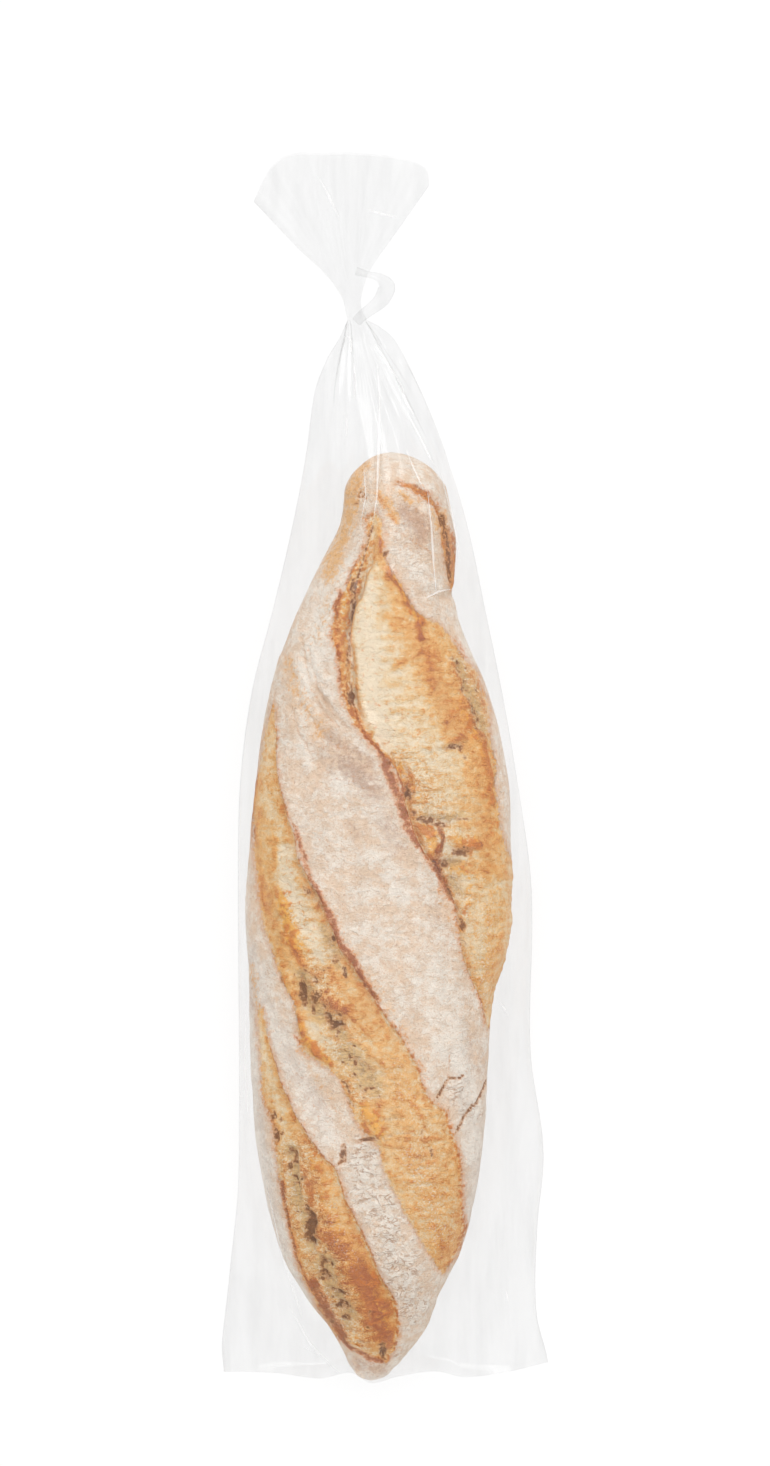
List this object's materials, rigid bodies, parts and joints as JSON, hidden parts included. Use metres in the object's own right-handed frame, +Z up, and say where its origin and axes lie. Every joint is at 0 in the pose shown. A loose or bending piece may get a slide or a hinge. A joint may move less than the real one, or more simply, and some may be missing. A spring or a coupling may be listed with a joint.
{
  "type": "bagged baguette",
  "caption": "Crusty slashed baguette in a long clear film bag, knotted above the loaf with a flared mouth, lying with its slashed top up.",
  "frame": {"origin": "middle of the bag's footprint, on the surface it lies on", "axes": "+Z up, out of the slashed top; +Y along the bag from its bottom seam towards the knot and the flared mouth; +X across the bag, to the side that the knot's loop is on"},
  "size_m": [0.1206, 0.4537, 0.054],
  "materials": {
    "crust": "dry baked crust, matt, floured skin beside golden torn slashes with dark red-brown edges, seen through clear film",
    "film": "thin clear glossy polypropylene film with fine creases"
  },
  "bodies": {
    "root": {"bagged_baguette": "crust"}
  },
  "joints": []
}
